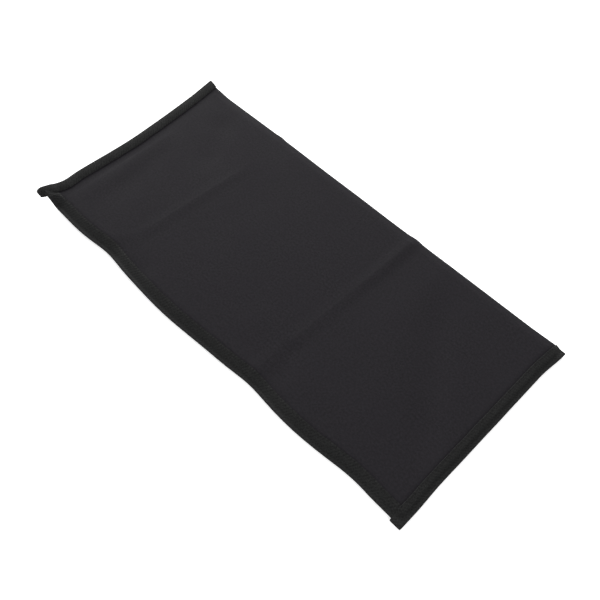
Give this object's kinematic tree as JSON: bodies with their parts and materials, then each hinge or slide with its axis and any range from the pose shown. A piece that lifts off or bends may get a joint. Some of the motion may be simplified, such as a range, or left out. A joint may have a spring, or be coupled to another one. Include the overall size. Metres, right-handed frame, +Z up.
{
  "type": "film changing bag",
  "caption": "Light-tight cloth bag for loading film: folded flat, taped on three edges, zipped inside and out, with elastic-cuffed arm sleeves tucked beneath.",
  "frame": {"origin": "centre of the bag's outline on the surface it lies on, its tape tips included", "axes": "+X along the length, towards the end with the arm sleeves; +Y towards the folded long edge; +Z up, out of the face that shows"},
  "size_m": [0.56, 0.276, 0.0097],
  "materials": {
    "outer_cloth": "matte coated cloth",
    "inner_cloth": "matte coated cloth",
    "binding_tape": "matte twill tape",
    "elastic": "woven elastic",
    "zip_tape": "woven",
    "zip_teeth": "satin",
    "zip_metal": "black enamel"
  },
  "bodies": {
    "middle": {"inner_back_middle": "inner_cloth", "inner_front_middle": "inner_cloth", "near_binding_middle": "binding_tape", "outer_back_middle": "outer_cloth", "outer_front_middle": "outer_cloth"},
    "left": {"inner_back_left": "inner_cloth", "inner_front_left": "inner_cloth", "inner_zip_stop_far": "zip_metal", "inner_zip_stop_near": "zip_metal", "inner_zip_tape_left": "zip_tape", "inner_zip_tape_right": "zip_tape", "inner_zip_teeth_left": "zip_teeth", "inner_zip_teeth_right": "zip_teeth", "left_end_binding": "binding_tape", "near_binding_left": "binding_tape", "outer_back_left": "outer_cloth", "outer_front_left": "outer_cloth", "outer_zip_stop_far": "zip_metal", "outer_zip_stop_near": "zip_metal", "outer_zip_tape_left": "zip_tape", "outer_zip_tape_right": "zip_tape", "outer_zip_teeth_left": "zip_teeth", "outer_zip_teeth_right": "zip_teeth"},
    "right": {"inner_back_right": "inner_cloth", "inner_front_right": "inner_cloth", "near_binding_right": "binding_tape", "outer_back_right": "outer_cloth", "outer_front_right": "outer_cloth", "right_end_binding": "binding_tape", "sleeve_seam_far": "binding_tape", "sleeve_seam_near": "binding_tape"},
    "sleeve_arm_near": {"sleeve_cuff_near": "outer_cloth", "sleeve_elastic_near": "elastic", "sleeve_near": "outer_cloth"},
    "sleeve_arm_far": {"sleeve_cuff_far": "outer_cloth", "sleeve_elastic_far": "elastic", "sleeve_far": "outer_cloth"},
    "outer_slider": {"outer_zip_slider": "zip_metal"},
    "outer_pull": {"outer_zip_pull": "zip_metal"},
    "inner_slider": {"inner_zip_slider": "zip_metal", "inner_zip_soft_tab": "zip_tape"}
  },
  "joints": [
    {"name": "right_fold", "type": "hinge", "parent": "middle", "child": "right", "pos_m": [0.07, 0.003, 0.01], "axis": [0, -1, 0], "range_deg": [0, 180]},
    {"name": "left_fold", "type": "hinge", "parent": "middle", "child": "left", "pos_m": [-0.1456, 0.003, 0.0178], "axis": [0, 1, 0], "range_deg": [0, 180]},
    {"name": "sleeve_swing_near", "type": "hinge", "parent": "right", "child": "sleeve_arm_near", "pos_m": [0.249, -0.05, -0.0002], "axis": [0, 1, 0], "range_deg": [-180, 0]},
    {"name": "sleeve_swing_far", "type": "hinge", "parent": "right", "child": "sleeve_arm_far", "pos_m": [0.249, 0.056, -0.0002], "axis": [0, 1, 0], "range_deg": [-180, 0]},
    {"name": "outer_zip_slide", "type": "slide", "parent": "left", "child": "outer_slider", "axis": [0, -1, 0], "range_m": [0, 0.1782]},
    {"name": "outer_pull_swing", "type": "hinge", "parent": "outer_slider", "child": "outer_pull", "pos_m": [-0.232, 0.0921, 0.00115], "axis": [1, 0, 0], "range_deg": [0, 170]},
    {"name": "inner_zip_slide", "type": "slide", "parent": "left", "child": "inner_slider", "axis": [0, -1, 0], "range_m": [0, 0.1782]}
  ]
}
